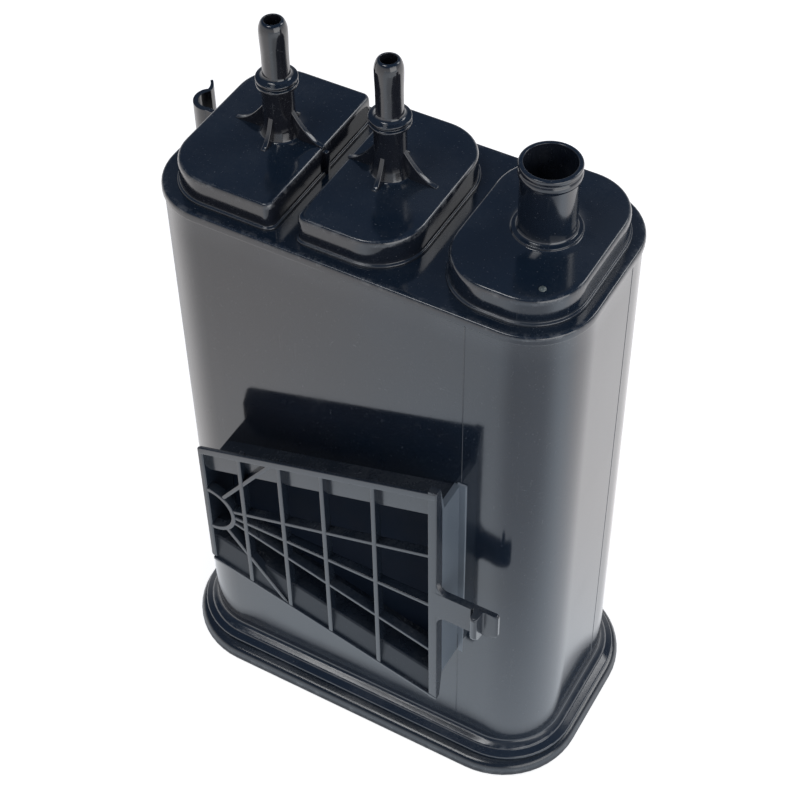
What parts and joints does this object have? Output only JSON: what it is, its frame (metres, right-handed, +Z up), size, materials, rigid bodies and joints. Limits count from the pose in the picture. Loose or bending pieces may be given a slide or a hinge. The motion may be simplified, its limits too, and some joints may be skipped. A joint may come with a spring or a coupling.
{
  "type": "charcoal canister",
  "caption": "Upright oval-box fuel vapour canister with three hose ports on top, a fan-ribbed snap bracket in front and a welded foot cover.",
  "frame": {"origin": "middle of the flat foot pad under the bottom cover", "axes": "+Z up through the ports, +X along the long side towards the air port, -Y towards the bracket"},
  "size_m": [0.1624, 0.1003, 0.27],
  "materials": {
    "housing_nylon": "glossy black moulded nylon with dust and fine scratches",
    "cover_nylon": "black moulded nylon",
    "filter_fleece": "pressed polyester fleece",
    "carbon_granules": "matt black activated carbon granules",
    "plate_nylon": "matt black moulded nylon",
    "spring_steel": "drawn spring wire"
  },
  "bodies": {
    "root": {"housing": "housing_nylon", "bottom_cover": "cover_nylon", "tank_filter": "filter_fleece", "purge_filter": "filter_fleece", "air_filter": "filter_fleece", "main_lower_filter": "filter_fleece", "vent_lower_filter": "filter_fleece", "main_carbon_bed": "carbon_granules", "vent_carbon_bed": "carbon_granules", "main_pressure_plate": "plate_nylon", "vent_pressure_plate": "plate_nylon", "main_spring_left": "spring_steel", "main_spring_right": "spring_steel", "vent_spring": "spring_steel"}
  },
  "joints": []
}
